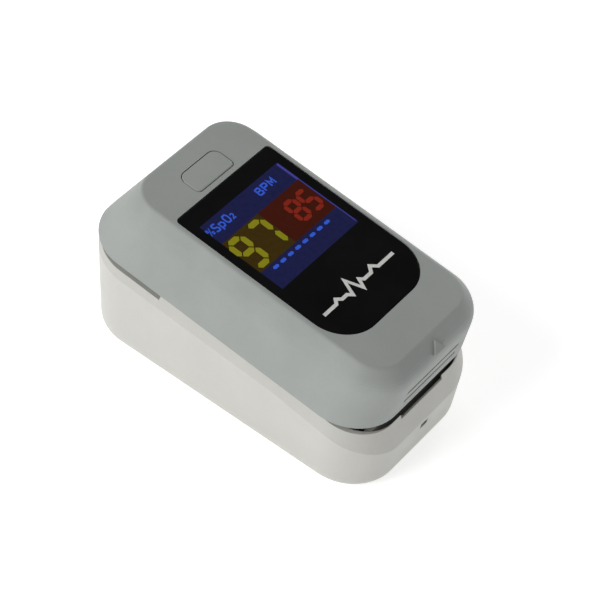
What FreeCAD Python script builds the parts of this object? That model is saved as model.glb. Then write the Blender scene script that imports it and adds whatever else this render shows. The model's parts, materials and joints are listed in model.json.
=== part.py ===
"""Fingertip pulse oximeter: a two-jaw clip with a display half above and a
battery half below, hinged on one cross pin.  Millimetres, +Z up, the flat
underside on Z = 0, finger entry toward +Y, squeeze end toward -Y."""
import math
import os

import FreeCAD
import Part
import Sketcher

V = FreeCAD.Vector
doc = FreeCAD.newDocument("pulse_oximeter")

# ---------------------------------------------------------------- dimensions
sheet = doc.addObject("Spreadsheet::Sheet", "Dims")
DIM = {}
ROWS = [
    # frame of the parting plane
    ("seam_height", 17.8), ("seam_shift", 0.65), ("seam_tilt", 5.65),
    # upper shell, measured in the parting frame
    ("up_half", 17.0), ("up_back", -29.1), ("up_front", 29.1), ("up_rad", 8.8),
    ("bev_z", 8.8), ("bev_half", 14.8), ("bev_back", -29.4), ("bev_front", 25.1), ("bev_rad", 7.4),
    ("top_z", 11.2), ("top_half", 12.5), ("top_back", -26.7), ("top_front", 24.0), ("top_rad", 5.0),
    ("cav_half", 15.5), ("cav_back", -27.6), ("cav_front", 27.6), ("cav_rad", 7.3),
    ("cavtop_z", 9.4), ("cavtop_half", 13.0), ("cavtop_back", -27.3), ("cavtop_front", 23.2), ("cavtop_rad", 5.8),
    ("bev_round", 1.7), ("top_round", 0.35),
    # display window and its recess
    ("win_half", 11.8), ("win_back", -19.5), ("win_front", 14.9), ("win_rad_back", 6.9),
    ("win_rad_front", 0.9), ("win_low", 10.15), ("win_thick", 1.0), ("win_gap", 0.1),
    ("disp_half", 10.3), ("disp_back", -6.0), ("disp_front", 12.0), ("disp_low", 8.0), ("disp_thick", 2.05),
    # push button
    ("btn_half", 4.6), ("btn_back", 16.0), ("btn_front", 20.4), ("btn_rad_back", 0.95), ("btn_rad_front", 1.7),
    ("btn_gap", 0.13), ("btn_low", 8.8), ("btn_top", 11.28), ("btn_flange", 0.7), ("btn_flange_thick", 0.5),
    ("btn_travel", 0.35),
    # circuit board
    ("pcb_half", 9.9), ("pcb_back", -24.0), ("pcb_front", 21.5), ("pcb_low", 6.9), ("pcb_thick", 1.0),
    # finger channel: half width, roof height, floor depth, silicone wall
    ("chan_half", 8.0), ("chan_roof", 3.6), ("chan_floor", 4.2), ("chan_stop", -8.0), ("chan_mouth", 28.3),
    ("pad_half", 9.4), ("pad_roof", 4.9), ("pad_floor", 5.4), ("pad_back", -9.3),
    ("flange_half", 10.9), ("jaw_gap", 0.25),
    # inner frames
    ("frame_half", 14.5), ("frame_back", -27.1), ("frame_front", 26.0), ("frame_rad", 6.3),
    ("uframe_low", 1.6), ("uframe_thick", 1.2), ("lframe_low", -2.9), ("lframe_thick", 0.9),
    # hinge
    ("pin_y", -13.0), ("pin_rad", 1.0), ("pin_half", 12.5), ("pin_fit", 0.05),
    ("uear_in", 9.0), ("uear_out", 10.4), ("uear_rad", 1.75),
    ("lear_in", 10.8), ("lear_out", 12.2), ("lear_rad", 2.1),
    # lower shell, measured in the world frame
    ("low_half", 15.74), ("low_back", -29.47), ("low_front", 28.3), ("low_rad", 8.6),
    ("high_z", 24.0), ("high_half", 17.66), ("high_back", -29.95), ("high_front", 29.74), ("high_rad", 9.2),
    ("low_round", 2.3), ("rim_inset", 1.15), ("rim_height", 2.9),
    ("rim_half", 15.9), ("rim_front", 27.9), ("rim_back", -16.2),
    ("floor_thick", 1.6), ("lcav_half", 14.1), ("lcav_back", -27.9), ("lcav_front", 26.7), ("lcav_rad", 7.0),
    ("lcavh_half", 15.5), ("lcavh_back", -28.1), ("lcavh_front", 27.9), ("lcavh_rad", 7.5),
    ("rim_gap", 0.35), ("rim_gap_entry", 1.8), ("rim_step_y", 11.8), ("rim_gap_end", 2.4),
    # batteries
    ("cell_rad", 5.2), ("cell_len", 43.4), ("cell_x", 5.35), ("cell_z", 6.75), ("nub_rad", 1.9), ("nub_len", 1.0),
    ("bay_back", -25.0), ("bay_front", 23.4), ("door_half", 10.8), ("door_back", -24.6), ("door_front", 23.0),
    ("door_low", 0.1), ("door_thick", 1.25), ("door_gap", 0.15),
    # springs
    ("coil_rad", 1.75), ("wire", 0.7), ("coil_in", 4.7), ("coil_pitch", 0.74), ("coil_turns", 4.0),
    ("leg_len", 6.3),
    # screws
    ("scr_x", 12.4), ("scr_front", 17.6), ("scr_back", -20.0), ("scr_rad", 0.75), ("scr_head", 1.25), ("boss_rad", 1.5),
    # optics
    ("opt_y", 6.0),
]
for row, (name, value) in enumerate(ROWS, start=1):
    sheet.set("A%d" % row, name)
    sheet.set("B%d" % row, "%.4f" % value)
    sheet.setAlias("B%d" % row, name)
    DIM[name] = value
doc.recompute()
D = type("D", (), DIM)

TILT = FreeCAD.Rotation(V(1, 0, 0), D.seam_tilt)
SEAM = FreeCAD.Placement(V(0, D.seam_shift, D.seam_height), TILT)
HOME = FreeCAD.Placement()
NODES = []


def names_in(text):
    """Prefix every dimension name with its sheet, for setExpression."""
    out, word = "", ""
    for ch in text + " ":
        if ch.isalnum() or ch == "_":
            word += ch
        else:
            out += ("Dims." + word) if word in DIM else word
            out += ch
            word = ""
    return out.strip()


def bind(obj, path, text):
    obj.setExpression(path, names_in(text))


def val(text):
    """Number behind a sum of dimension names and numbers (a factor may lead a name)."""
    if isinstance(text, (int, float)):
        return float(text)
    total, sign, cur = 0.0, 1.0, ""
    for ch in text.replace(" ", "") + "+":
        if ch in "+-":
            if cur:
                prod = 1.0
                for tok in cur.split("*"):
                    prod *= DIM[tok] if tok in DIM else float(tok)
                total += sign * prod
                sign, cur = 1.0, ""
            if ch == "-":
                sign = -sign
        else:
            cur += ch
    return total


def E(value):
    return value if isinstance(value, str) else "%.4f" % value


# ---------------------------------------------------------------- helpers
def plane_of(body, role):
    for f in body.Origin.OriginFeatures:
        if f.Role == role:
            return f
    raise RuntimeError(role)


def new_body(label, placement):
    body = doc.addObject("PartDesign::Body", label)
    body.Label = label
    body.Placement = placement
    NODES.append(body)
    return body


def new_sketch(body, name, role="XY_Plane", offset=None):
    sk = body.newObject("Sketcher::SketchObject", name)
    sk.AttachmentSupport = [(plane_of(body, role), "")]
    sk.MapMode = "FlatFace"
    if offset is not None:
        sk.AttachmentOffset = FreeCAD.Placement(V(0, 0, val(offset)), FreeCAD.Rotation())
        bind(sk, "AttachmentOffset.Base.z", E(offset))
    return sk


def fix_point(sk, geo, pos, ex, ey):
    i = sk.addConstraint(Sketcher.Constraint("DistanceX", -1, 1, geo, pos, val(ex)))
    if isinstance(ex, str):
        bind(sk, "Constraints[%d]" % i, ex)
    i = sk.addConstraint(Sketcher.Constraint("DistanceY", -1, 1, geo, pos, val(ey)))
    if isinstance(ey, str):
        bind(sk, "Constraints[%d]" % i, ey)


def round_rect(sk, half, ya, yb, rad_a, rad_b=None):
    """Rectangle symmetric about x = 0 with tangent corner arcs; rad_a at the ya end."""
    rad_b = rad_a if rad_b is None else rad_b
    w, a, b, ra, rb = val(half), val(ya), val(yb), val(rad_a), val(rad_b)
    h = math.pi / 2
    ar = lambda x, y, r, q: Part.ArcOfCircle(Part.Circle(V(x, y, 0), V(0, 0, 1), r), q * h, (q + 1) * h)
    ln = lambda p, q: Part.LineSegment(V(p[0], p[1], 0), V(q[0], q[1], 0))
    g = sk.addGeometry
    g(ln((-w + ra, a), (w - ra, a)), False)          # 0
    g(ar(w - ra, a + ra, ra, 3), False)              # 1
    g(ln((w, a + ra), (w, b - rb)), False)           # 2
    g(ar(w - rb, b - rb, rb, 0), False)              # 3
    g(ln((w - rb, b), (-w + rb, b)), False)          # 4
    g(ar(-w + rb, b - rb, rb, 1), False)             # 5
    g(ln((-w, b - rb), (-w, a + ra)), False)         # 6
    g(ar(-w + ra, a + ra, ra, 2), False)             # 7
    C = Sketcher.Constraint
    # each arc runs counter-clockwise: start = 1, end = 2
    for l1, p1, l2, p2 in ((0, 2, 1, 1), (1, 2, 2, 1), (2, 2, 3, 1), (3, 2, 4, 1),
                           (4, 2, 5, 1), (5, 2, 6, 1), (6, 2, 7, 1), (7, 2, 0, 1)):
        sk.addConstraint(C("Tangent", l1, p1, l2, p2))
    for k in (0, 4):
        sk.addConstraint(C("Horizontal", k))
    for k in (2, 6):
        sk.addConstraint(C("Vertical", k))
    sk.addConstraint(C("Equal", 1, 7))
    sk.addConstraint(C("Equal", 3, 5))
    for con, text in ((C("Radius", 1, ra), rad_a), (C("Radius", 3, rb), rad_b),
                      (C("DistanceX", -1, 1, 2, 1, w), half),
                      (C("DistanceX", 6, 1, -1, 1, w), half),
                      (C("DistanceY", -1, 1, 0, 1, a), ya),
                      (C("DistanceY", -1, 1, 4, 1, b), yb)):
        i = sk.addConstraint(con)
        if isinstance(text, str):
            bind(sk, "Constraints[%d]" % i, text)


def polygon(sk, pts):
    n = len(pts)
    for k in range(n):
        p, q = pts[k], pts[(k + 1) % n]
        sk.addGeometry(Part.LineSegment(V(val(p[0]), val(p[1]), 0), V(val(q[0]), val(q[1]), 0)), False)
    for k in range(n):
        sk.addConstraint(Sketcher.Constraint("Coincident", k, 2, (k + 1) % n, 1))
    for k in range(n):
        fix_point(sk, k, 1, pts[k][0], pts[k][1])


def circle(sk, x, y, rad):
    g = sk.addGeometry(Part.Circle(V(val(x), val(y), 0), V(0, 0, 1), val(rad)), False)
    fix_point(sk, g, 3, x, y)
    i = sk.addConstraint(Sketcher.Constraint("Radius", g, val(rad)))
    if isinstance(rad, str):
        bind(sk, "Constraints[%d]" % i, rad)


def pad(body, sk, length, name, reverse=False, mid=False):
    f = body.newObject("PartDesign::Pad", name)
    f.Profile = sk
    f.Length = val(length)
    bind(f, "Length", E(length))
    f.Reversed = reverse
    f.Midplane = mid
    sk.Visibility = False
    body.Tip = f
    return f


def pocket(body, sk, length, name, reverse=False, mid=False):
    f = body.newObject("PartDesign::Pocket", name)
    f.Profile = sk
    if length is None:
        f.Type = 1
    else:
        f.Length = val(length)
        bind(f, "Length", E(length))
    f.Reversed = reverse
    f.Midplane = mid
    sk.Visibility = False
    body.Tip = f
    return f


def loft(body, s1, s2, name, kind="PartDesign::AdditiveLoft"):
    f = body.newObject(kind, name)
    f.Profile = s1
    f.Sections = [s2]
    f.Ruled = True
    body.Tip = f
    return f


def edges_at(shape, test):
    return ["Edge%d" % (i + 1) for i, e in enumerate(shape.Edges) if test(e)]


def dress(body, base, kind, size, test, name, size2=None):
    doc.recompute()
    names = edges_at(base.Shape, test)
    f = body.newObject("PartDesign::" + kind, name)
    f.Base = (base, names)
    if kind == "Fillet":
        f.Radius = val(size)
        bind(f, "Radius", E(size))
    else:
        f.Size = val(size)
        bind(f, "Size", E(size))
        if size2 is not None:
            f.ChamferType = 1
            f.Size2 = val(size2)
            bind(f, "Size2", E(size2))
    body.Tip = f
    return f


def flat_edge(z, tol=0.02):
    def test(e):
        b = e.BoundBox
        return abs(b.ZMin - z) < tol and abs(b.ZMax - z) < tol
    return test


def box(name, dx, dy, dz, x, y, z, label=None, placement=None, node=False):
    """Part::Box by its low corner, all six numbers bound to the sheet."""
    b = doc.addObject("Part::Box", name)
    for prop, text in (("Length", dx), ("Width", dy), ("Height", dz)):
        setattr(b, prop, val(text))
        bind(b, prop, E(text))
    b.Placement = FreeCAD.Placement(V(val(x), val(y), val(z)), FreeCAD.Rotation())
    for ax, text in (("x", x), ("y", y), ("z", z)):
        bind(b, "Placement.Base." + ax, E(text))
    return b


def cyl(name, rad, length, x, y, z, axis="z"):
    c = doc.addObject("Part::Cylinder", name)
    c.Radius = val(rad)
    bind(c, "Radius", E(rad))
    c.Height = val(length)
    bind(c, "Height", E(length))
    rot = {"z": FreeCAD.Rotation(), "x": FreeCAD.Rotation(V(0, 1, 0), 90),
           "y": FreeCAD.Rotation(V(1, 0, 0), -90)}[axis]
    c.Placement = FreeCAD.Placement(V(val(x), val(y), val(z)), rot)
    for ax, text in (("x", x), ("y", y), ("z", z)):
        bind(c, "Placement.Base." + ax, E(text))
    return c


def fuse(name, objs, refine=True):
    f = doc.addObject("Part::MultiFuse", name)
    f.Shapes = objs
    f.Refine = refine
    return f


def cut(name, base, tool, refine=True):
    f = doc.addObject("Part::Cut", name)
    f.Base = base
    f.Tool = tool
    f.Refine = refine
    return f


def group(label, objs, placement):
    f = doc.addObject("Part::Compound", label)
    f.Links = objs
    f.Label = label
    f.Placement = placement
    NODES.append(f)
    return f


def node(obj, label, placement):
    """Name a finished object.  One that lies in the parting frame goes there whole."""
    if placement is HOME:
        obj.Label = label
        NODES.append(obj)
        return obj
    obj.Label = label + "_raw"
    return group(label, [obj], placement)


# ================================================================ upper shell
ush = new_body("upper_shell", SEAM)


def bezier(p, q, r, u):
    return tuple((1 - u) ** 2 * i + 2 * u * (1 - u) * j + u * u * k for i, j, k in zip(p, q, r))


def along(p, q, z):
    """Point of the ring profile p-q (half, back, front, radius, z) at height z."""
    u = (z - p[4]) / (q[4] - p[4])
    return tuple(i + u * (j - i) for i, j in zip(p, q))


# ring profile: half width, back end, front end, corner radius, height
R_SEAM = (D.up_half, D.up_back, D.up_front, D.up_rad, 0.0)
R_BEV = (D.bev_half, D.bev_back, D.bev_front, D.bev_rad, D.bev_z)
R_TOP = (D.top_half, D.top_back, D.top_front, D.top_rad, D.top_z)
R_FLAT = (D.top_half - D.top_round, D.top_back + D.top_round, D.top_front - D.top_round,
          D.top_rad - D.top_round, D.top_z)
lo, hi = along(R_SEAM, R_BEV, D.bev_z - D.bev_round), along(R_BEV, R_TOP, D.bev_z + 0.6 * D.bev_round)
t_lo = along(R_BEV, R_TOP, D.top_z - 0.4)
rings = [lo] + [bezier(lo, R_BEV, hi, u) for u in (0.2, 0.4, 0.6, 0.8)] + [hi]
rings += [t_lo] + [bezier(t_lo, R_TOP, R_FLAT, u) for u in (0.25, 0.5, 0.75)] + [R_FLAT]
s0 = new_sketch(ush, "us_seam")
round_rect(s0, "up_half", "up_back", "up_front", "up_rad")
sections = []
for k, g in enumerate(rings):
    sk = new_sketch(ush, "us_ring%d" % k, offset=g[4])
    round_rect(sk, g[0], g[1], g[2], g[3])
    sections.append(sk)
doc.recompute()
outer = body_loft = ush.newObject("PartDesign::AdditiveLoft", "us_outer")
outer.Profile = s0
outer.Sections = sections
outer.Ruled = True
ush.Tip = outer
doc.recompute()
c0 = new_sketch(ush, "us_cav0")
round_rect(c0, "cav_half", "cav_back", "cav_front", "cav_rad")
c1 = new_sketch(ush, "us_cav1", offset="cavtop_z")
round_rect(c1, "cavtop_half", "cavtop_back", "cavtop_front", "cavtop_rad")
loft(ush, c0, c1, "us_cavity", "PartDesign::SubtractiveLoft")
# recess that the window lies in, and the display's opening below it
sk = new_sketch(ush, "us_recess_sk", offset="top_z+1")
round_rect(sk, "win_half+win_gap", "win_back-win_gap", "win_front+win_gap", "win_rad_back", "win_rad_front")
pocket(ush, sk, "top_z+1-win_low+0.02", "us_recess")
sk = new_sketch(ush, "us_opening_sk", offset="top_z")
round_rect(sk, "disp_half+0.25", "disp_back-0.25", "disp_front+0.25", 0.6)
pocket(ush, sk, 3.0, "us_opening")
sk = new_sketch(ush, "us_button_sk", offset="top_z+1")
round_rect(sk, "btn_half+btn_gap", "btn_back-btn_gap", "btn_front+btn_gap", "btn_rad_back", "btn_rad_front")
pocket(ush, sk, 4.0, "us_button_hole")
# arch for the finger through the entry wall
sk = new_sketch(ush, "us_arch_sk", role="XZ_Plane")
aw, ah = D.pad_half + 0.2, D.pad_roof + 0.2
ar = (aw * aw + ah * ah) / (2 * ah)
sk.addGeometry(Part.Arc(V(-aw, 0, 0), V(0, ah, 0), V(aw, 0, 0)), False)
sk.addGeometry(Part.LineSegment(V(aw, 0, 0), V(aw, -3, 0)), False)
sk.addGeometry(Part.LineSegment(V(aw, -3, 0), V(-aw, -3, 0)), False)
sk.addGeometry(Part.LineSegment(V(-aw, -3, 0), V(-aw, 0, 0)), False)
sk.AttachmentOffset = FreeCAD.Placement(V(0, 0, -22.0), FreeCAD.Rotation())
arch = pocket(ush, sk, 14.0, "us_arch")
doc.recompute()
if arch.Shape.Volume > ush.Shape.Volume + 1e-6 or abs(arch.Shape.Volume) < 1:
    arch.Reversed = True
# screw bosses hang from the roof
sk = new_sketch(ush, "us_boss_sk", offset="uframe_low+uframe_thick")
for sx in ("scr_x", "-scr_x"):
    for sy in ("scr_front", "scr_back"):
        circle(sk, sx, sy, "boss_rad")
doc.recompute()
pad(ush, sk, 5.3, "us_bosses")
sk = new_sketch(ush, "us_hole_sk", offset="uframe_low")
for sx in ("scr_x", "-scr_x"):
    for sy in ("scr_front", "scr_back"):
        circle(sk, sx, sy, "scr_rad+0.02")
pocket(ush, sk, 6.2, "us_holes", reverse=True)
# two short posts for the board
sk = new_sketch(ush, "us_post_sk", offset="pcb_low+pcb_thick")
circle(sk, 8.2, "pcb_back+1.8", 1.3)
circle(sk, -8.2, "pcb_back+1.8", 1.3)
pad(ush, sk, 1.8, "us_posts")
sk = new_sketch(ush, "us_post_hole_sk", offset="pcb_low+pcb_thick-0.5")
circle(sk, 8.2, "pcb_back+1.8", 0.55)
circle(sk, -8.2, "pcb_back+1.8", 0.55)
pocket(ush, sk, 2.0, "us_post_holes", reverse=True)
# grip grooves across the squeeze face
for k, z in enumerate((2.3, 4.5)):
    sk = new_sketch(ush, "us_groove_sk%d" % k, offset="%.2f" % z)
    polygon(sk, [(-7.0, "up_back-1.5"), (7.0, "up_back-1.5"), (7.0, "up_back+0.30"), (-7.0, "up_back+0.30")])
    pocket(ush, sk, 0.55, "us_groove%d" % k, reverse=True)
doc.recompute()
# raised triangle on the squeeze-end bevel, apex toward the window
ta = math.degrees(math.atan2(D.top_z - D.bev_z, D.top_back - D.bev_back))
tri = new_sketch(ush, "us_triangle_sk")
tri.AttachmentOffset = FreeCAD.Placement(V(0, (D.bev_back + D.top_back) / 2, (D.bev_z + D.top_z) / 2 - 0.6),
                                         FreeCAD.Rotation(V(1, 0, 0), ta))
polygon(tri, [(-1.3, -0.95), (1.3, -0.95), (0.0, 1.0)])
pad(ush, tri, 0.85, "us_triangle")

# ================================================================ display window
win = new_body("display_window", SEAM)
sk = new_sketch(win, "dw_sk", offset="win_low")
round_rect(sk, "win_half", "win_back", "win_front", "win_rad_back-0.1", "win_rad_front-0.1")
f = pad(win, sk, "win_thick", "dw_plate")
dress(win, f, "Fillet", 0.18, flat_edge(D.win_low + D.win_thick), "dw_round")

mod = new_body("display_module", SEAM)
sk = new_sketch(mod, "dm_sk", offset="disp_low")
round_rect(sk, "disp_half", "disp_back", "disp_front", 0.4)
f = pad(mod, sk, "disp_thick", "dm_block")
sk = new_sketch(mod, "dm_step_sk", offset="disp_low")
polygon(sk, [("-disp_half-1", "disp_front-1.5"), ("disp_half+1", "disp_front-1.5"),
             ("disp_half+1", "disp_front+1"), ("-disp_half-1", "disp_front+1")])
pocket(mod, sk, 0.9, "dm_step", reverse=True)

pcb = new_body("main_board", SEAM)
sk = new_sketch(pcb, "mb_sk", offset="pcb_low")
round_rect(sk, "pcb_half", "pcb_back", "pcb_front", 1.0)
pad(pcb, sk, "pcb_thick", "mb_plate")
sk = new_sketch(pcb, "mb_hole_sk", offset="pcb_low")
circle(sk, 8.2, "pcb_back+1.8", 0.6)
circle(sk, -8.2, "pcb_back+1.8", 0.6)
pocket(pcb, sk, 3.0, "mb_holes", reverse=True)

chip = node(box("chip_box", 7.0, 7.0, 0.95, -8.0, -8.0, "pcb_low-1.0"), "controller_chip", SEAM)

# ================================================================ power button
btn = new_body("power_button", SEAM)
sk = new_sketch(btn, "pb_flange_sk", offset="btn_low")
round_rect(sk, "btn_half+btn_flange", "btn_back-btn_flange+0.15", "btn_front+btn_flange", 0.8)
pad(btn, sk, "btn_flange_thick", "pb_flange")
sk = new_sketch(btn, "pb_cap_sk", offset="btn_low")
round_rect(sk, "btn_half", "btn_back", "btn_front", "btn_rad_back-0.1", "btn_rad_front-0.1")
f = pad(btn, sk, "btn_top-btn_low", "pb_cap")
dress(btn, f, "Fillet", 0.22, flat_edge(D.btn_top), "pb_round")

sw_a = box("sw_body", 4.2, 3.4, 0.32, -2.1, "btn_back+0.5", "pcb_low+pcb_thick")
sw_b = cyl("sw_dome", 0.9, 0.1, 0, "btn_back+2.2", "pcb_low+pcb_thick+0.32")
sw = fuse("sw_fuse", [sw_a, sw_b])

# ================================================================ upper frame
uf = new_body("upper_frame", SEAM)
sk = new_sketch(uf, "uf_sk", offset="uframe_low")
round_rect(sk, "frame_half", "frame_back", "frame_front", "frame_rad")
pad(uf, sk, "uframe_thick", "uf_plate")
sk = new_sketch(uf, "uf_mouth_sk", offset="uframe_low")
round_rect(sk, "pad_half+0.15", "pad_back-0.2", "frame_front+8", 2.0)
pocket(uf, sk, 4.0, "uf_mouth", reverse=True)
for sgn, side in ((1, "r"), (-1, "l")):
    sk = new_sketch(uf, "uf_ear_sk_" + side, role="YZ_Plane", offset=("uear_in" if sgn > 0 else "-uear_out"))
    circle(sk, "pin_y", 0, "uear_rad")
    pad(uf, sk, "uear_out-uear_in", "uf_ear_" + side)
    sk = new_sketch(uf, "uf_web_sk_" + side, role="YZ_Plane", offset=("uear_in" if sgn > 0 else "-uear_out"))
    polygon(sk, [("pin_y-uear_rad", 0), ("pin_y+uear_rad", 0), ("pin_y+uear_rad", "uframe_low+0.4"),
                 ("pin_y-uear_rad", "uframe_low+0.4")])
    pad(uf, sk, "uear_out-uear_in", "uf_web_" + side)
sk = new_sketch(uf, "uf_bore_sk", role="YZ_Plane")
circle(sk, "pin_y", 0, "pin_rad+pin_fit")
pocket(uf, sk, 60.0, "uf_bore", mid=True)
# slots above the lower ears, pockets over the springs, screw holes, cable slot
sk = new_sketch(uf, "uf_slot_sk", offset="uframe_low-0.5")
for sg in (1, -1):
    a, b = ("lear_in-0.3", "lear_out+0.35") if sg > 0 else ("-lear_out-0.35", "-lear_in+0.3")
    polygon_pts = [(a, "pin_y-lear_rad-0.7"), (b, "pin_y-lear_rad-0.7"), (b, "pin_y+lear_rad+0.7"), (a, "pin_y+lear_rad+0.7")]
    n0 = sk.GeometryCount
    for k in range(4):
        p, q = polygon_pts[k], polygon_pts[(k + 1) % 4]
        sk.addGeometry(Part.LineSegment(V(val(p[0]), val(p[1]), 0), V(val(q[0]), val(q[1]), 0)), False)
    for k in range(4):
        sk.addConstraint(Sketcher.Constraint("Coincident", n0 + k, 2, n0 + (k + 1) % 4, 1))
    for k in range(4):
        fix_point(sk, n0 + k, 1, polygon_pts[k][0], polygon_pts[k][1])
pocket(uf, sk, 3.0, "uf_slots", reverse=True)
for side, a, b in (("r", "coil_in-0.5", "coil_in+3.9"), ("l", "-coil_in-3.9", "-coil_in+0.5")):
    sk = new_sketch(uf, "uf_coil_sk_" + side, offset="uframe_low-0.5")
    polygon(sk, [(a, "pin_y-2.7"), (b, "pin_y-2.7"), (b, "pin_y+2.7"), (a, "pin_y+2.7")])
    pocket(uf, sk, 3.0, "uf_coil_" + side, reverse=True)
    sk = new_sketch(uf, "uf_leg_sk_" + side, offset="uframe_low-0.5")
    polygon(sk, [(a, "pin_y-leg_len-0.6"), (b, "pin_y-leg_len-0.6"), (b, "pin_y"), (a, "pin_y")])
    pocket(uf, sk, 1.05, "uf_leg_" + side, reverse=True)
sk = new_sketch(uf, "uf_scr_sk", offset="uframe_low-0.5")
for sx in ("scr_x", "-scr_x"):
    for sy in ("scr_front", "scr_back"):
        circle(sk, sx, sy, "scr_rad+0.1")
pocket(uf, sk, 3.0, "uf_screw_holes", reverse=True)
sk = new_sketch(uf, "uf_cable_sk", offset="uframe_low-0.5")
polygon(sk, [(-3.4, "pin_y-2.7"), (3.4, "pin_y-2.7"), (3.4, "pin_y-1.3"), (-3.4, "pin_y-1.3")])
pocket(uf, sk, 3.0, "uf_cable", reverse=True)

# ================================================================ lower frame
lf = new_body("lower_frame", SEAM)
sk = new_sketch(lf, "lf_sk", offset="lframe_low")
round_rect(sk, "frame_half", "frame_back", "frame_front+0.6", "frame_rad")
pad(lf, sk, "lframe_thick", "lf_plate")
sk = new_sketch(lf, "lf_mouth_sk", offset="lframe_low-0.5")
round_rect(sk, "pad_half+0.15", "pad_back-0.2", "frame_front+8", 2.0)
pocket(lf, sk, 4.0, "lf_mouth", reverse=True)
for sgn, side in ((1, "r"), (-1, "l")):
    off = "lear_in" if sgn > 0 else "-lear_out"
    sk = new_sketch(lf, "lf_ear_sk_" + side, role="YZ_Plane", offset=off)
    circle(sk, "pin_y", 0, "lear_rad")
    pad(lf, sk, "lear_out-lear_in", "lf_ear_" + side)
    sk = new_sketch(lf, "lf_web_sk_" + side, role="YZ_Plane", offset=off)
    polygon(sk, [("pin_y-lear_rad", 0), ("pin_y-lear_rad-0.8", "lframe_low+0.3"),
                 ("pin_y+lear_rad+0.8", "lframe_low+0.3"), ("pin_y+lear_rad", 0)])
    pad(lf, sk, "lear_out-lear_in", "lf_web_" + side)
sk = new_sketch(lf, "lf_bore_sk", role="YZ_Plane")
circle(sk, "pin_y", 0, "pin_rad+0.01")
pocket(lf, sk, 60.0, "lf_bore", mid=True)
for side, a, b in (("r", "coil_in-0.5", "coil_in+3.9"), ("l", "-coil_in-3.9", "-coil_in+0.5")):
    sk = new_sketch(lf, "lf_coil_sk_" + side, offset="lframe_low-0.5")
    polygon(sk, [(a, "pin_y-2.7"), (b, "pin_y-2.7"), (b, "pin_y+2.7"), (a, "pin_y+2.7")])
    pocket(lf, sk, 3.0, "lf_coil_" + side, reverse=True)
    sk = new_sketch(lf, "lf_leg_sk_" + side, offset="lframe_low+lframe_thick-0.2")
    polygon(sk, [(a, "pin_y-leg_len-0.6"), (b, "pin_y-leg_len-0.6"), (b, "pin_y"), (a, "pin_y")])
    pocket(lf, sk, 1.0, "lf_leg_" + side, reverse=True)
sk = new_sketch(lf, "lf_scr_sk", offset="lframe_low-0.5")
for sx in ("scr_x", "-scr_x"):
    for sy in ("scr_front", "scr_back"):
        circle(sk, sx, sy, "scr_rad+0.1")
pocket(lf, sk, 3.0, "lf_screw_holes", reverse=True)
sk = new_sketch(lf, "lf_cable_sk", offset="lframe_low-0.5")
polygon(sk, [(-3.4, "pin_y-2.7"), (3.4, "pin_y-2.7"), (3.4, "pin_y-1.3"), (-3.4, "pin_y-1.3")])
pocket(lf, sk, 3.0, "lf_cable", reverse=True)


# ================================================================ silicone pads
def channel_pad(label, up):
    """Flange plate with a trough; up = +1 for the upper pad, -1 for the lower."""
    body = new_body(label, SEAM)
    thick = 1.3 if up > 0 else 1.7
    z0 = "jaw_gap" if up > 0 else "-jaw_gap-1.7"
    sk = new_sketch(body, label + "_flange_sk", offset=z0)
    round_rect(sk, "flange_half", "pad_back-0.9", "frame_front-0.2", 2.5)
    pad(body, sk, thick, label + "_flange")
    # trough body
    depth = D.pad_roof if up > 0 else D.pad_floor
    inner = D.chan_roof if up > 0 else D.chan_floor
    g = D.jaw_gap * up
    for nm, w, hgt, ya, yb, is_pad in (("shell", D.pad_half, depth, D.pad_back, D.chan_mouth, True),
                                       ("channel", D.chan_half, inner, D.chan_stop, D.chan_mouth + 6, False)):
        sk = new_sketch(body, label + "_" + nm + "_sk", role="XZ_Plane")
        sk.AttachmentOffset = FreeCAD.Placement(V(0, 0, -yb if is_pad else -yb), FreeCAD.Rotation())
        base = g if is_pad else -g * 2
        r = (w * w + hgt * hgt) / (2 * hgt)
        zc = up * (hgt - r)
        half = math.sqrt(max(r * r - (base - zc) ** 2, 0.01))
        sk.addGeometry(Part.Arc(V(-half, base, 0), V(0, up * hgt, 0), V(half, base, 0)), False)
        sk.addGeometry(Part.LineSegment(V(half, base, 0), V(-half, base, 0)), False)
        if is_pad:
            f = pad(body, sk, yb - ya, label + "_" + nm)
        else:
            f = pocket(body, sk, yb - ya, label + "_" + nm, reverse=True)
        doc.recompute()
    # window through the roof
    sk = new_sketch(body, label + "_opt_sk", offset=(3.0 if up > 0 else -6.5))
    if up > 0:
        polygon(sk, [(-3.0, "opt_y-3.0"), (3.0, "opt_y-3.0"), (3.0, "opt_y+3.0"), (-3.0, "opt_y+3.0")])
    else:
        polygon(sk, [(-2.6, "opt_y-2.6"), (2.6, "opt_y-2.6"), (2.6, "opt_y+2.6"), (-2.6, "opt_y+2.6")])
    pocket(body, sk, 3.0, label + "_opt", reverse=True)
    if up > 0:
        # the mouth end leans back with the shell's end wall
        sk = new_sketch(body, label + "_lean_sk", role="YZ_Plane")
        polygon(sk, [(28.75, -0.5), (31.0, -0.5), (31.0, 6.5), (25.6, 6.5)])
        pocket(body, sk, 26.0, label + "_lean", mid=True)
    return body


upad = channel_pad("upper_pad", 1)
lpad = channel_pad("lower_pad", -1)

ledwin = node(box("ledwin_box", 5.9, 5.9, 0.75, -2.95, "opt_y-2.95", 3.75), "led_window", SEAM)
lw_a = box("led_a", 3.6, 3.6, 1.1, -1.8, "opt_y-1.8", 4.65)
lw_b = box("led_b", 2.4, 2.4, 1.15, -1.2, "opt_y-1.2", 5.7)
led = fuse("led_fuse", [lw_a, lw_b])
senwin = node(box("senwin_box", 5.1, 5.1, 0.75, -2.55, "opt_y-2.55", -5.05), "sensor_window", SEAM)
pdiode = node(box("pd_box", 3.0, 3.2, 1.0, -1.5, "opt_y-1.6", -6.15), "photodiode", SEAM)
senpcb = node(box("senpcb_box", 3.4, 12.0, 0.6, -1.7, "opt_y-4.0", -6.8), "sensor_board", SEAM)

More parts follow.
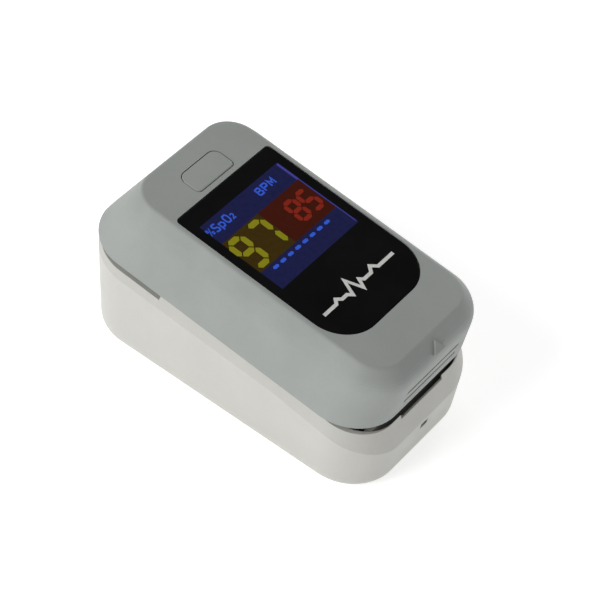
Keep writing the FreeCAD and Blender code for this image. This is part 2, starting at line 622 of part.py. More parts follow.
# ================================================================ lower shell
ct, st = math.cos(math.radians(D.seam_tilt)), math.sin(math.radians(D.seam_tilt))


def world_yz(y, z):
    return (D.seam_shift + y * ct - z * st, D.seam_height + y * st + z * ct)


def tool_body(name, placement):
    body = doc.addObject("PartDesign::Body", name)
    body.Label = name
    body.Placement = placement
    return body


# ring profile of the tapered tub, its bottom edge rounded
Q0 = (D.low_half, D.low_back, D.low_front, D.low_rad, 0.0)
Q1 = (D.high_half, D.high_back, D.high_front, D.high_rad, D.high_z)
q_up = along(Q0, Q1, D.low_round)
q_in = (D.low_half - D.low_round, D.low_back + D.low_round, D.low_front - D.low_round, D.low_rad - D.low_round, 0.0)
tub = tool_body("ls_tub", HOME)
a0 = new_sketch(tub, "ls_low")
round_rect(a0, "low_half-low_round", "low_back+low_round", "low_front-low_round", "low_rad-low_round")
sections = []
for k, u in enumerate((0.15, 0.32, 0.5, 0.68, 0.85, 1.0)):
    g = bezier(q_in, Q0, q_up, u)
    sk = new_sketch(tub, "ls_ring%d" % k, offset=g[4])
    round_rect(sk, g[0], g[1], g[2], g[3])
    sections.append(sk)
a1 = new_sketch(tub, "ls_high", offset="high_z")
round_rect(a1, "high_half", "high_back", "high_front", "high_rad")
sections.append(a1)
doc.recompute()
body_loft = tub.newObject("PartDesign::AdditiveLoft", "ls_outer")
body_loft.Profile = a0
body_loft.Sections = sections
body_loft.Ruled = True
tub.Tip = body_loft

# the bevel below the rim: two tapered blocks, one square to the parting plane and one
# square to the wedge that opens behind the pin; the tub is what all three share
slope = (D.rim_gap_end - D.rim_gap) / 16.0
wedge_tilt = D.seam_tilt + math.degrees(math.atan(slope))
WEDGE = FreeCAD.Placement(V(*([0] + list(world_yz(D.pin_y, -D.rim_gap)))), FreeCAD.Rotation(V(1, 0, 0), wedge_tilt))
RIM = FreeCAD.Placement(V(*([0] + list(world_yz(0, -D.rim_gap)))), TILT)
k_bev = D.rim_inset / D.rim_height
DEEP = 30.0


def bevel_block(name, placement, half, back, front, grow_back, grow_front, rad):
    body = tool_body(name, placement)
    top = new_sketch(body, name + "_t")
    round_rect(top, half, back, front, rad)
    g = k_bev * DEEP
    low = new_sketch(body, name + "_b", offset=-DEEP)
    round_rect(low, half + g, back - g * grow_back, front + g * grow_front, rad + g)
    doc.recompute()
    f = body.newObject("PartDesign::AdditiveLoft", name + "_loft")
    f.Profile = top
    f.Sections = [low]
    f.Ruled = True
    body.Tip = f
    return body


blk_a = bevel_block("ls_bevel_a", RIM, D.rim_half, -60.0, D.rim_front, 0.0, 0.8, 7.8)
blk_b = bevel_block("ls_bevel_b", WEDGE, D.rim_half - 0.05, D.rim_back, 75.0, 1.55, 0.0, 7.8)
core = doc.addObject("Part::MultiCommon", "ls_core")
core.Shapes = [tub, blk_a, blk_b]
doc.recompute()
lsh = doc.addObject("PartDesign::Body", "lower_shell")
lsh.Label = "lower_shell"
lsh.BaseFeature = core
lsh.Placement = HOME
NODES.append(lsh)
doc.recompute()


def yz_polygon(body, name, pts):
    sk = new_sketch(body, name, role="YZ_Plane")
    polygon(sk, pts)
    return sk


# the rim steps down at the finger entry
sk = yz_polygon(lsh, "ls_gap_sk", [world_yz(D.rim_step_y, -D.rim_gap_entry), world_yz(50, -D.rim_gap_entry),
                                   world_yz(50, 10), world_yz(D.rim_step_y, 10)])
pocket(lsh, sk, 80.0, "ls_gap", mid=True)
# inner hollow
b0 = new_sketch(lsh, "ls_cav0", offset="floor_thick")
round_rect(b0, "lcav_half", "lcav_back", "lcav_front", "lcav_rad")
b1 = new_sketch(lsh, "ls_cav1", offset="high_z")
round_rect(b1, "lcavh_half", "lcavh_back", "lcavh_front", "lcavh_rad")
loft(lsh, b0, b1, "ls_cavity", "PartDesign::SubtractiveLoft")
doc.recompute()
# battery bay: side and end ribs standing on the floor
sk = new_sketch(lsh, "ls_rib_sk", offset="floor_thick-0.4")


def add_rect(sk, xa, xb, ya, yb):
    pts = [(xa, ya), (xb, ya), (xb, yb), (xa, yb)]
    n0 = sk.GeometryCount
    for k in range(4):
        p, q = pts[k], pts[(k + 1) % 4]
        sk.addGeometry(Part.LineSegment(V(val(p[0]), val(p[1]), 0), V(val(q[0]), val(q[1]), 0)), False)
    for k in range(4):
        sk.addConstraint(Sketcher.Constraint("Coincident", n0 + k, 2, n0 + (k + 1) % 4, 1))
    for k in range(4):
        fix_point(sk, n0 + k, 1, pts[k][0], pts[k][1])


add_rect(sk, "door_half+0.3", "door_half+1.2", "door_back-0.5", "door_front+0.5")
add_rect(sk, "-door_half-1.2", "-door_half-0.3", "door_back-0.5", "door_front+0.5")
pad(lsh, sk, 7.2, "ls_side_ribs")
for tag, ya, yb, tall in (("a", "bay_front+0.4", "bay_front+1.4", 9.8), ("b", "bay_back-1.4", "bay_back-0.4", 10.85)):
    sk = new_sketch(lsh, "ls_endrib_sk_" + tag, offset="floor_thick-0.4")
    add_rect(sk, "-door_half-1.2", "door_half+1.2", ya, yb)
    pad(lsh, sk, tall, "ls_end_rib_" + tag)
# door opening
sk = new_sketch(lsh, "ls_door_sk", offset=-1.0)
round_rect(sk, "door_half+door_gap", "door_back-door_gap", "door_front+door_gap", 1.6)
pocket(lsh, sk, 3.4, "ls_door", reverse=True)
# screw bosses, square to the parting plane
zb = "lframe_low"
for tag, sy, length in (("a", "scr_front", 15.2), ("b", "scr_back", 11.5)):
    sk = new_sketch(lsh, "ls_boss_sk_" + tag)
    sk.AttachmentOffset = FreeCAD.Placement(V(*([0] + list(world_yz(0, D.lframe_low)))), TILT)
    for sx in ("scr_x", "-scr_x"):
        circle(sk, sx, sy, "boss_rad")
    pad(lsh, sk, length, "ls_bosses_" + tag, reverse=True)
sk = new_sketch(lsh, "ls_bosshole_sk")
sk.AttachmentOffset = FreeCAD.Placement(V(*([0] + list(world_yz(0, D.lframe_low + 0.5)))), TILT)
for sx in ("scr_x", "-scr_x"):
    for sy in ("scr_front", "scr_back"):
        circle(sk, sx, sy, "scr_rad+0.02")
pocket(lsh, sk, 6.2, "ls_bossholes")
# U-shaped mouth for the finger through the entry wall
sk = new_sketch(lsh, "ls_mouth_sk", role="XZ_Plane")
sk.AttachmentOffset = FreeCAD.Placement(V(0, 0, -40.0), FreeCAD.Rotation())
mw, mh = D.pad_half + 0.2, D.pad_floor + 0.3
yc, zc = world_yz(27.5, 0)
sk.addGeometry(Part.Arc(V(-mw, zc, 0), V(0, zc - mh, 0), V(mw, zc, 0)), False)
sk.addGeometry(Part.LineSegment(V(mw, zc, 0), V(mw, zc + 8, 0)), False)
sk.addGeometry(Part.LineSegment(V(mw, zc + 8, 0), V(-mw, zc + 8, 0)), False)
sk.addGeometry(Part.LineSegment(V(-mw, zc + 8, 0), V(-mw, zc, 0)), False)
mouth = pocket(lsh, sk, 18.0, "ls_mouth", reverse=True)
# thumb notch in the squeeze-end rim and the lanyard slot below it
sk = new_sketch(lsh, "ls_notch_sk", role="XZ_Plane")
sk.AttachmentOffset = FreeCAD.Placement(V(0, 0, 24.0), FreeCAD.Rotation())
zr = world_yz(-29.5, -D.rim_gap_end)[1]
polygon(sk, [(-5.6, zr - 0.75), (5.6, zr - 0.75), (5.6, zr + 4), (-5.6, zr + 4)])
notch = pocket(lsh, sk, 10.0, "ls_notch", reverse=True)
sk = new_sketch(lsh, "ls_slot_sk", role="XZ_Plane")
sk.AttachmentOffset = FreeCAD.Placement(V(0, 0, 27.0), FreeCAD.Rotation())
add_rect(sk, -0.8, 1.1, 6.1, 7.2)
slot = pocket(lsh, sk, 6.0, "ls_slot", reverse=True)
doc.recompute()

# ================================================================ battery door
door = new_body("battery_cover", HOME)
sk = new_sketch(door, "bc_sk", offset="door_low")
round_rect(sk, "door_half", "door_back", "door_front", 1.5)
f = pad(door, sk, "door_thick", "bc_plate")
# thumb grip: five shallow grooves across the outside
sk = new_sketch(door, "bc_grip_sk", offset="door_low")
for k in range(5):
    add_rect(sk, -5.0, 5.0, 12.0 + 1.6 * k, 12.7 + 1.6 * k)
pocket(door, sk, 0.4, "bc_grip", reverse=True)


# ================================================================ batteries
def cell(label, x, flip):
    y0 = "bay_back+nub_len" if flip else "bay_back+4.0"
    a = cyl(label + "_can", "cell_rad", "cell_len", x, y0, "cell_z", "y")
    b = cyl(label + "_nub", "nub_rad", "nub_len+0.2", x,
            ("bay_back" if flip else "bay_back+4.0+cell_len-0.2"), "cell_z", "y")
    return node(fuse(label + "_f", [a, b]), label, HOME)


cell("battery_left", "-cell_x", False)
cell("battery_right", "cell_x", True)


def coil(label, x, y0, length, rad, turns, wire):
    """Contact spring along Y."""
    f = doc.addObject("Part::Feature", label)
    helix = Part.makeHelix(length / turns, length, rad)
    helix.rotate(V(0, 0, 0), V(1, 0, 0), -90)
    helix.translate(V(x, y0, D.cell_z))
    e = helix.Edges
    prof = Part.makeCircle(wire / 2, e[0].valueAt(e[0].FirstParameter), e[0].tangentAt(e[0].FirstParameter))
    f.Shape = Part.Wire(e).makePipeShell([Part.Wire([prof])], True, True)
    f.Placement = HOME
    f.Label = label
    NODES.append(f)
    return f


coil("contact_spring_left", -D.cell_x, D.bay_back + 0.3, 3.4, 2.6, 3.5, 0.5)
coil("contact_spring_right", D.cell_x, D.bay_front - 0.3 - 3.4, 3.4, 2.6, 3.5, 0.5)
# flat contacts in front of the end ribs
node(box("cb_box", 19.0, 0.3, 8.0, -9.5, "bay_back-0.35", 3.0), "contact_bridge", HOME)
node(box("cp_box", 8.0, 0.3, 8.0, -9.5, "bay_front+0.05", 3.0), "contact_positive", HOME)
node(box("cn_box", 8.0, 0.3, 8.0, 1.5, "bay_front+0.05", 3.0), "contact_negative", HOME)

# ================================================================ hinge pin and springs
pin = cyl("pin_rod", "pin_rad", "2*pin_half", "-pin_half", "pin_y", 0, "x")
pin_holder = fuse("pin_fuse", [pin, cyl("pin_head", "pin_rad+0.35", 0.3, "-pin_half-0.3", "pin_y", 0, "x")])


def torsion(label, x0, sgn):
    """Coil round the pin with two legs toward the squeeze end."""
    f = doc.addObject("Part::Feature", label)
    n = D.coil_turns
    r, p, w = D.coil_rad, D.coil_pitch, D.wire / 2
    # helix axis along X, first point at the bottom, last at the top (half turn more)
    height = p * (n + 0.5)
    helix = Part.makeHelix(p, height, r)
    helix.rotate(V(0, 0, 0), V(0, 1, 0), 90)      # axis to +X, start at -Z
    if sgn < 0:
        helix = helix.mirror(V(0, 0, 0), V(1, 0, 0))
    helix.translate(V(x0, D.pin_y, 0))
    e = helix.Edges
    first = e[0].valueAt(e[0].FirstParameter)
    last = e[-1].valueAt(e[-1].LastParameter)
    t0 = e[0].tangentAt(e[0].FirstParameter)
    wire = Part.Wire(e)
    prof = Part.Wire([Part.makeCircle(w, first, t0)])
    body = wire.makePipeShell([prof], True, True)
    legs = []
    for p0 in (first, last):
        legs.append(Part.makeCylinder(w * 0.98, D.leg_len, p0, V(0, -1, 0)))
        legs.append(Part.makeSphere(w, p0))
    f.Shape = body.multiFuse(legs)
    f.Placement = SEAM
    f.Label = label
    NODES.append(f)
    return f


torsion("spring_right", D.coil_in, 1)
torsion("spring_left", -D.coil_in, -1)

# ================================================================ flexible cable and its connector
fc = new_body("flex_cable", SEAM)
sk = new_sketch(fc, "fc_sk", role="YZ_Plane")
ty = D.pin_y - 2.0
polygon(sk, [(ty - 0.1, -3.4), (ty + 0.1, -3.4), (ty + 0.1, 5.2), (ty - 0.1, 5.2)])
pad(fc, sk, 6.0, "fc_ribbon", mid=True)
node(box("fx_box", 7.0, 2.4, 1.5, -3.5, "pin_y-3.2", "pcb_low-1.6"), "flex_connector", SEAM)


# ================================================================ screws
def screw_set(label, xs, ys, z_head, up, placement, rad, head, head_h, length):
    """Pan-head screws; up = +1 with the shank rising from the head."""
    objs = []
    k = 0
    for x in xs:
        for y in ys:
            k += 1
            hd = cyl("%s_h%d" % (label, k), head, head_h, x, y, (z_head if up > 0 else "%s" % z_head))
            sh = cyl("%s_s%d" % (label, k), rad, length, x, y,
                     (val(z_head) + head_h - 0.02) if up > 0 else (val(z_head) - length + 0.02))
            cr = box("%s_x%d" % (label, k), 1.5, 0.3, 0.35, val(x) - 0.75, val(y) - 0.15,
                     (val(z_head) - 0.02) if up > 0 else (val(z_head) + head_h - 0.33))
            cr2 = box("%s_y%d" % (label, k), 0.3, 1.5, 0.35, val(x) - 0.15, val(y) - 0.75,
                      (val(z_head) - 0.02) if up > 0 else (val(z_head) + head_h - 0.33))
            body = fuse("%s_b%d" % (label, k), [hd, sh])
            cross = fuse("%s_c%d" % (label, k), [cr, cr2])
            objs.append(cut("%s_%d" % (label, k), body, cross))
    return group(label, objs, placement)


# upper frame screws: head below the plate, shank up into the roof bosses
screw_set("upper_screws", ("scr_x", "-scr_x"), ("scr_front", "scr_back"), "uframe_low-0.7", 1, SEAM,
          "scr_rad-0.05", "scr_head", 0.7, 5.6)
# lower frame screws: head above the plate, shank down
screw_set("lower_screws", ("scr_x", "-scr_x"), ("scr_front", "scr_back"), "lframe_low+lframe_thick", -1, SEAM,
          "scr_rad-0.05", "scr_head", 0.65, 5.6)
screw_set("board_screws", (8.2, -8.2), ("pcb_back+1.8",), "pcb_low-0.6", 1, SEAM, 0.5, 1.0, 0.6, 2.4)

node(sw, "button_switch", SEAM)
node(led, "led_emitter", SEAM)
node(pin_holder, "hinge_pin", SEAM)


# ================================================================ check and write
doc.recompute()
bad = []
for obj in doc.Objects:
    state = list(obj.State)
    if "Invalid" in state or "Error" in state:
        bad.append("%s (%s): %s" % (obj.Name, obj.Label, state))
for obj in NODES:
    if obj.Shape.isNull() or not obj.Shape.isValid() or not obj.Shape.Solids:
        bad.append("%s: null or invalid shape" % obj.Label)
if bad:
    raise RuntimeError("; ".join(bad))
os.makedirs("parts", exist_ok=True)
for obj in NODES:
    obj.Shape.exportStep("parts/%s.step" % obj.Label)
print("%d nodes written" % len(NODES))
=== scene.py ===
"""Looks of the clip-on fingertip pulse oximeter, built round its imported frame."""

import json
import math

import bmesh
import bpy
from mathutils import Matrix, Vector

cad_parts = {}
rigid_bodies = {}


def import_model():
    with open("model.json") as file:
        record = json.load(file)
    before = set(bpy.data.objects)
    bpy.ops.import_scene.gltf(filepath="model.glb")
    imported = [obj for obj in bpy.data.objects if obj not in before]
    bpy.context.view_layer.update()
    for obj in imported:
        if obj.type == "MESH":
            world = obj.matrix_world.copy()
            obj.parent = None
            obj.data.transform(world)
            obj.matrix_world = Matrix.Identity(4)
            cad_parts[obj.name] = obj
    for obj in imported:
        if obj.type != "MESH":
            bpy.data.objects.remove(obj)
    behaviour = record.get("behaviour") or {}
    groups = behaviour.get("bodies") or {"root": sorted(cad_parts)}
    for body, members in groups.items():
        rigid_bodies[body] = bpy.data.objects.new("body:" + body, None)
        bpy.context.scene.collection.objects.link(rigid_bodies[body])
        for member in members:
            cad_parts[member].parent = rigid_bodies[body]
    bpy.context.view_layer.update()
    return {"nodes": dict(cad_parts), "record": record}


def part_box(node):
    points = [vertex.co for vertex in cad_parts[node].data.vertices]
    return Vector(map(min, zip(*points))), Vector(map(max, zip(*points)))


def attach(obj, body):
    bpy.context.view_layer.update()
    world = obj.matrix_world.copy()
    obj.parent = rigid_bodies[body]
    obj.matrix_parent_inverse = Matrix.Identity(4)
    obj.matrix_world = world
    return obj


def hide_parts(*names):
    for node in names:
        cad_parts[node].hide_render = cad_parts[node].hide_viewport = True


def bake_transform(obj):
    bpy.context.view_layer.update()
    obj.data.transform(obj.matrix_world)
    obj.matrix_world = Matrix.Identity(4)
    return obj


for old in list(bpy.data.objects):
    bpy.data.objects.remove(old, do_unlink=True)

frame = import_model()
NODES = frame["nodes"]
MM = 0.001

# the parting frame of the two halves: tilted about X, origin on the seam
TILT = math.radians(5.65)
SEAM_Y, SEAM_Z = 0.65, 17.8
SEAM = Matrix.Translation(Vector((0, SEAM_Y, SEAM_Z)) * MM) @ Matrix.Rotation(TILT, 4, "X")


def seam_point(x, y, z):
    """A point given in the parting frame in mm, in the row frame in metres."""
    return SEAM @ Vector((x * MM, y * MM, z * MM))


# ------------------------------------------------------------------ materials
def new_material(name):
    m = bpy.data.materials.new(name)
    m.use_nodes = True
    nt = m.node_tree
    bsdf = nt.nodes["Principled BSDF"]
    return m, nt, bsdf


def coords(nt, scale=1.0):
    """Object coordinates in millimetres."""
    tc = nt.nodes.new("ShaderNodeTexCoord")
    mp = nt.nodes.new("ShaderNodeMapping")
    mp.inputs["Scale"].default_value = (1000 * scale,) * 3
    nt.links.new(tc.outputs["Object"], mp.inputs["Vector"])
    return mp.outputs["Vector"]


def noise(nt, vec, scale, detail=2.0, rough=0.5):
    n = nt.nodes.new("ShaderNodeTexNoise")
    n.inputs["Scale"].default_value = scale
    n.inputs["Detail"].default_value = detail
    n.inputs["Roughness"].default_value = rough
    nt.links.new(vec, n.inputs["Vector"])
    return n.outputs["Fac"]


def ramp(nt, fac, lo, hi, a=0.0, b=1.0):
    """fac from a..b mapped to lo..hi."""
    r = nt.nodes.new("ShaderNodeMapRange")
    r.inputs["From Min"].default_value = a
    r.inputs["From Max"].default_value = b
    r.inputs["To Min"].default_value = lo
    r.inputs["To Max"].default_value = hi
    nt.links.new(fac, r.inputs["Value"])
    return r.outputs["Result"]


def mix_color(nt, fac, a, b):
    m = nt.nodes.new("ShaderNodeMix")
    m.data_type = "RGBA"
    if isinstance(fac, (int, float)):
        m.inputs[0].default_value = fac
    else:
        nt.links.new(fac, m.inputs[0])
    for sock, c in ((6, a), (7, b)):
        if isinstance(c, (tuple, list)):
            m.inputs[sock].default_value = (*c[:3], 1)
        else:
            nt.links.new(c, m.inputs[sock])
    return m.outputs[2]


def bump(nt, bsdf, height, strength, distance_mm, upstream=None):
    b = nt.nodes.new("ShaderNodeBump")
    b.inputs["Strength"].default_value = strength
    b.inputs["Distance"].default_value = distance_mm * MM
    nt.links.new(height, b.inputs["Height"])
    if upstream is not None:
        nt.links.new(upstream, b.inputs["Normal"])
    nt.links.new(b.outputs["Normal"], bsdf.inputs["Normal"])
    return b.outputs["Normal"]


def moulded(name, color, rough, grain_mm=0.18, grain=0.25, mottle=0.06, edge=None, spread=0.06):
    """Injection-moulded plastic: spark-eroded grain, slow colour and roughness drift."""
    m, nt, b = new_material(name)
    vec = coords(nt)
    slow = noise(nt, vec, 0.09, 3.0, 0.55)
    dark = tuple(c * (1 - mottle) for c in color)
    light = tuple(min(1, c * (1 + mottle)) for c in color)
    base = mix_color(nt, ramp(nt, slow, 0, 1, 0.3, 0.7), dark, light)
    speck = noise(nt, vec, 1.0 / grain_mm * 0.55, 2.0, 0.6)
    base = mix_color(nt, ramp(nt, speck, 0, 0.10, 0.45, 0.75), base, tuple(c * 0.72 for c in color))
    nt.links.new(base, b.inputs["Base Color"])
    smudge = noise(nt, vec, 0.22, 4.0, 0.6)
    nt.links.new(ramp(nt, smudge, rough - spread, rough + spread, 0.3, 0.7), b.inputs["Roughness"])
    bump(nt, b, speck, grain, 0.03)
    return m


MATS = {}
MATS["shell_grey"] = moulded("shell_grey", (0.275, 0.292, 0.278), 0.56, grain_mm=0.22, grain=0.22, mottle=0.05)
MATS["shell_white"] = moulded("shell_white", (0.468, 0.462, 0.432), 0.46, grain_mm=0.22, grain=0.12, mottle=0.03)
MATS["frame_black"] = moulded("frame_black", (0.13, 0.14, 0.135), 0.55)
MATS["connector_ivory"] = moulded("connector_ivory", (0.72, 0.66, 0.52), 0.5)


def silicone():
    m, nt, b = new_material("silicone_dark")
    vec = coords(nt)
    slow = noise(nt, vec, 0.15, 3.0)
    base = mix_color(nt, ramp(nt, slow, 0, 1, 0.3, 0.7), (0.040, 0.043, 0.047), (0.062, 0.066, 0.070))
    dust = noise(nt, vec, 2.6, 6.0, 0.7)
    base = mix_color(nt, ramp(nt, dust, 0, 0.35, 0.60, 0.78), base, (0.16, 0.16, 0.155))
    nt.links.new(base, b.inputs["Base Color"])
    nt.links.new(ramp(nt, slow, 0.55, 0.78, 0.3, 0.7), b.inputs["Roughness"])
    b.inputs["Sheen Weight"].default_value = 0.25
    bump(nt, b, dust, 0.25, 0.02)
    return m


MATS["silicone_dark"] = silicone()


def gloss_black():
    """Polished acrylic with a few hair scratches and faint finger smears."""
    m, nt, b = new_material("window_black")
    vec = coords(nt)
    smear = noise(nt, vec, 0.12, 5.0, 0.6)
    base = mix_color(nt, ramp(nt, smear, 0, 1, 0.35, 0.75), (0.0028, 0.0028, 0.0030), (0.0050, 0.0050, 0.0054))
    nt.links.new(base, b.inputs["Base Color"])
    nt.links.new(ramp(nt, smear, 0.10, 0.20, 0.40, 0.75), b.inputs["Roughness"])
    b.inputs["Specular IOR Level"].default_value = 0.045
    scr = noise(nt, vec, 2.8, 3.0, 0.5)
    bump(nt, b, scr, 0.02, 0.01)
    return m


MATS["window_black"] = gloss_black()


def metal(name, color, rough, brushed=(1.0, 1.0, 1.0), spread=0.08, wear=0.2):
    m, nt, b = new_material(name)
    b.inputs["Metallic"].default_value = 1.0
    tc = nt.nodes.new("ShaderNodeTexCoord")
    mp = nt.nodes.new("ShaderNodeMapping")
    mp.inputs["Scale"].default_value = tuple(1000 * s for s in brushed)
    nt.links.new(tc.outputs["Object"], mp.inputs["Vector"])
    vec = mp.outputs["Vector"]
    lines = noise(nt, vec, 1.6, 4.0, 0.6)
    slow = noise(nt, vec, 0.3, 3.0)
    base = mix_color(nt, ramp(nt, slow, 0, wear, 0.35, 0.7), color, tuple(c * 0.55 for c in color))
    nt.links.new(base, b.inputs["Base Color"])
    nt.links.new(ramp(nt, lines, rough - spread, rough + spread, 0.3, 0.7), b.inputs["Roughness"])
    bump(nt, b, lines, 0.12, 0.01)
    return m


MATS["spring_steel"] = metal("spring_steel", (0.56, 0.56, 0.57), 0.30)
MATS["screw_steel"] = metal("screw_steel", (0.50, 0.50, 0.52), 0.34)
MATS["pin_steel"] = metal("pin_steel", (0.62, 0.62, 0.63), 0.24, brushed=(0.2, 1.5, 1.5))
MATS["contact_nickel"] = metal("contact_nickel", (0.70, 0.67, 0.60), 0.26, brushed=(1, 0.3, 0.3))


def epoxy():
    m, nt, b = new_material("chip_black")
    vec = coords(nt)
    f = noise(nt, vec, 6.0, 3.0)
    nt.links.new(mix_color(nt, f, (0.012, 0.012, 0.013), (0.03, 0.03, 0.032)), b.inputs["Base Color"])
    nt.links.new(ramp(nt, f, 0.45, 0.65), b.inputs["Roughness"])
    bump(nt, b, f, 0.3, 0.02)
    return m


MATS["chip_black"] = epoxy()


def board():
    """Green solder mask over copper: tracks show as slightly lighter, raised lines."""
    m, nt, b = new_material("circuit_board")
    vec = coords(nt)
    br = nt.nodes.new("ShaderNodeTexBrick")
    br.inputs["Scale"].default_value = 0.9
    br.inputs["Mortar Size"].default_value = 0.10
    br.inputs["Brick Width"].default_value = 1.9
    br.inputs["Row Height"].default_value = 0.55
    br.offset = 0.37
    nt.links.new(vec, br.inputs["Vector"])
    f = br.outputs["Fac"]
    slow = noise(nt, vec, 0.4, 2.0)
    base = mix_color(nt, f, (0.010, 0.085, 0.035), (0.022, 0.15, 0.060))
    base = mix_color(nt, ramp(nt, slow, 0, 0.3, 0.5, 0.8), base, (0.006, 0.05, 0.022))
    nt.links.new(base, b.inputs["Base Color"])
    nt.links.new(ramp(nt, slow, 0.28, 0.42), b.inputs["Roughness"])
    bump(nt, b, f, 0.25, 0.04)
    return m


MATS["circuit_board"] = board()


def flex():
    m, nt, b = new_material("flex_amber")
    vec = coords(nt)
    w = nt.nodes.new("ShaderNodeTexWave")
    w.wave_type = "BANDS"
    w.bands_direction = "X"
    w.inputs["Scale"].default_value = 0.30
    w.inputs["Distortion"].default_value = 0.0
    nt.links.new(vec, w.inputs["Vector"])
    f = w.outputs["Fac"]
    nt.links.new(mix_color(nt, ramp(nt, f, 0, 1, 0.45, 0.6), (0.42, 0.17, 0.03), (0.60, 0.31, 0.07)), b.inputs["Base Color"])
    slow = noise(nt, vec, 0.8, 2.0)
    nt.links.new(ramp(nt, slow, 0.25, 0.4), b.inputs["Roughness"])
    return m


MATS["flex_amber"] = flex()


def optic():
    m, nt, b = new_material("optic_clear")
    vec = coords(nt)
    f = noise(nt, vec, 0.7, 3.0)
    nt.links.new(mix_color(nt, f, (0.16, 0.015, 0.012), (0.26, 0.03, 0.022)), b.inputs["Base Color"])
    nt.links.new(ramp(nt, f, 0.06, 0.16), b.inputs["Roughness"])
    b.inputs["Coat Weight"].default_value = 0.4
    return m


MATS["optic_clear"] = optic()


def led_lens():
    m, nt, b = new_material("led_lens")
    vec = coords(nt)
    f = noise(nt, vec, 1.2, 3.0)
    nt.links.new(mix_color(nt, f, (0.66, 0.63, 0.58), (0.80, 0.78, 0.74)), b.inputs["Base Color"])
    nt.links.new(ramp(nt, f, 0.2, 0.35), b.inputs["Roughness"])
    return m


MATS["led_lens"] = led_lens()


def battery_wrap():
    """Plain sleeve in two colours, set by where along Y the point lies."""
    m, nt, b = new_material("battery_wrap")
    vec = coords(nt)
    sep = nt.nodes.new("ShaderNodeSeparateXYZ")
    nt.links.new(vec, sep.inputs[0])
    y = sep.outputs["Y"]
    slow = noise(nt, vec, 0.5, 3.0)
    sleeve = mix_color(nt, ramp(nt, slow, 0, 1, 0.4, 0.7), (0.030, 0.034, 0.040), (0.045, 0.050, 0.058))
    band = ramp(nt, y, 0, 1, 7.9, 8.0)
    col = mix_color(nt, band, sleeve, (0.34, 0.15, 0.05))
    nt.links.new(col, b.inputs["Base Color"])
    nt.links.new(ramp(nt, slow, 0.24, 0.36), b.inputs["Roughness"])
    scr = noise(nt, vec, 3.0, 3.0)
    bump(nt, b, scr, 0.08, 0.01)
    return m


MATS["battery_wrap"] = battery_wrap()
MATS["display_glass"] = None


def emitter(name, color, strength, dark=None, grain=0.12):
    """A lit part of the screen: a little uneven, like a real panel."""
    m, nt, b = new_material(name)
    vec = coords(nt)
    f = noise(nt, vec, 1.4, 2.0)
    lo = tuple(c * (1 - grain) for c in color)
    c = mix_color(nt, f, lo, color)
    nt.links.new(c, b.inputs["Base Color"])
    nt.links.new(c, b.inputs["Emission Color"])
    b.inputs["Emission Strength"].default_value = strength
    b.inputs["Roughness"].default_value = 0.22
    b.inputs["Specular IOR Level"].default_value = 0.03
    return m


def display_glass():
    m, nt, b = new_material("display_glass")
    vec = coords(nt)
    f = noise(nt, vec, 0.5, 3.0)
    nt.links.new(mix_color(nt, f, (0.015, 0.015, 0.03), (0.03, 0.03, 0.05)), b.inputs["Base Color"])
    nt.links.new(ramp(nt, f, 0.08, 0.2), b.inputs["Roughness"])
    return m


MATS["display_glass"] = display_glass()

slot_of = {s["node"]: s.get("material_slot") for s in frame["record"]["subparts"]}
for n, o in NODES.items():
    mat = MATS[slot_of[n]]
    for i in range(len(o.material_slots)):
        o.material_slots[i].material = mat
    if not o.material_slots:
        o.data.materials.append(mat)


# ------------------------------------------------------------------ mesh helpers
def mesh_object(name, verts, faces, material, body, smooth=False):
    me = bpy.data.meshes.new(name)
    me.from_pydata([tuple(v) for v in verts], [], faces)
    me.validate()
    me.update()
    if smooth:
        me.polygons.foreach_set("use_smooth", [True] * len(me.polygons))
    o = bpy.data.objects.new(name, me)
    bpy.context.scene.collection.objects.link(o)
    me.materials.append(material)
    if body:
        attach(o, body)
    return o


def tube(path, radius, sides=14, cap=True):
    """Verts and faces of a round tube along a list of points, with parallel-carried frames."""
    verts, faces = [], []
    n = len(path)
    t0 = (path[1] - path[0]).normalized()
    ref = Vector((1, 0, 0)) if abs(t0.x) < 0.9 else Vector((0, 1, 0))
    u = (ref - t0 * ref.dot(t0)).normalized()
    for i, p in enumerate(path):
        t = (path[min(i + 1, n - 1)] - path[max(i - 1, 0)]).normalized()
        u = (u - t * u.dot(t)).normalized()
        w = t.cross(u)
        for k in range(sides):
            a = 2 * math.pi * k / sides
            verts.append(p + (u * math.cos(a) + w * math.sin(a)) * radius)
    for i in range(n - 1):
        for k in range(sides):
            a, b_ = i * sides + k, i * sides + (k + 1) % sides
            faces.append((a, b_, b_ + sides, a + sides))
    if cap:
        faces.append(tuple(reversed(range(sides))))
        faces.append(tuple(range((n - 1) * sides, n * sides)))
    return verts, faces


# ------------------------------------------------------------------ lit screen
TOP_Z = 11.15          # top face of the window, parting frame
LIFT = 0.004           # printed and lit shapes stand this far proud of it, mm


def top_polygons(name, polys, z, material, body="upper_case", thick=0.012):
    """Thin flat prisms on the window: each poly is a list of (x, y), counter-clockwise from above."""
    verts, faces = [], []
    for poly in polys:
        base = len(verts)
        k = len(poly)
        for zz in (z - thick, z):
            for x, y in poly:
                verts.append(seam_point(x, y, zz))
        faces.append(tuple(range(base + k, base + 2 * k)))
        faces.append(tuple(reversed(range(base, base + k))))
        for i in range(k):
            j = (i + 1) % k
            faces.append((base + i, base + j, base + k + j, base + k + i))
    return mesh_object(name, verts, faces, material, body)


def rect(xa, ya, xb, yb):
    return [(xa, ya), (xb, ya), (xb, yb), (xa, yb)]



